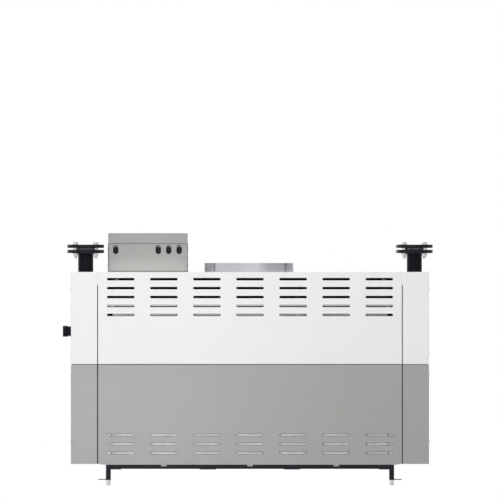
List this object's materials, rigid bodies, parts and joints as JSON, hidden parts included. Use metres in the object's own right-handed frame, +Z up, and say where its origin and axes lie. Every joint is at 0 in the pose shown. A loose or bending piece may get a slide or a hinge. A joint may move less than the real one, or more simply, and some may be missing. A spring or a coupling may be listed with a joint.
{
  "type": "industrial gas boiler",
  "caption": "Floor-standing gas boiler in a louvred sheet casing on a low steel frame, with flanged water stubs, a flue socket, a threaded gas inlet and a control box on top.",
  "frame": {"origin": "on the floor under the middle of the casing", "axes": "+Z up, -Y out of the front louvred panel, +X to the viewer's right"},
  "size_m": [1.8592, 0.9, 1.2683],
  "materials": {
    "white_paint": "fine satin powder coat",
    "grey_paint": "fine satin powder coat",
    "frame_black": "satin paint",
    "pipe_black": "heat-resistant satin paint",
    "hood_black": "matt heat-resistant coating",
    "galvanised_sheet": "galvanised, dull",
    "stainless_steel": "brushed",
    "zinc_plate": "bright zinc plate",
    "gland_rubber": "matt",
    "gasket_sheet": "matt fibre sheet"
  },
  "bodies": {
    "root": {"base_tray": "galvanised_sheet", "cable_glands": "gland_rubber", "casing_posts": "frame_black", "chamber_uprights": "galvanised_sheet", "combustion_chamber": "galvanised_sheet", "control_box_body": "grey_paint", "control_box_cover": "grey_paint", "control_box_lid": "grey_paint", "exchanger_casing": "galvanised_sheet", "exchanger_rim": "galvanised_sheet", "flue_socket": "stainless_steel", "frame_straps": "frame_black", "front_left_leg": "frame_black", "front_lower_panel": "grey_paint", "front_rail": "frame_black", "front_right_leg": "frame_black", "front_upper_panel": "white_paint", "gas_coupling": "pipe_black", "gas_pipe": "pipe_black", "left_counter_flange": "pipe_black", "left_flange_gasket": "gasket_sheet", "left_lower_panel": "grey_paint", "left_rail": "frame_black", "left_stub_flange": "pipe_black", "left_upper_panel": "white_paint", "left_water_header": "pipe_black", "left_water_stub": "pipe_black", "levelling_bolts": "zinc_plate", "panel_seal": "gland_rubber", "rear_left_leg": "frame_black", "rear_lower_panel": "grey_paint", "rear_rail": "frame_black", "rear_right_leg": "frame_black", "rear_upper_panel": "white_paint", "right_counter_flange": "pipe_black", "right_flange_gasket": "gasket_sheet", "right_lower_panel": "grey_paint", "right_rail": "frame_black", "right_stub_flange": "pipe_black", "right_upper_panel": "white_paint", "right_water_header": "pipe_black", "right_water_stub": "pipe_black", "smoke_hood": "hood_black", "top_channels": "white_paint", "top_cover": "white_paint"}
  },
  "joints": []
}
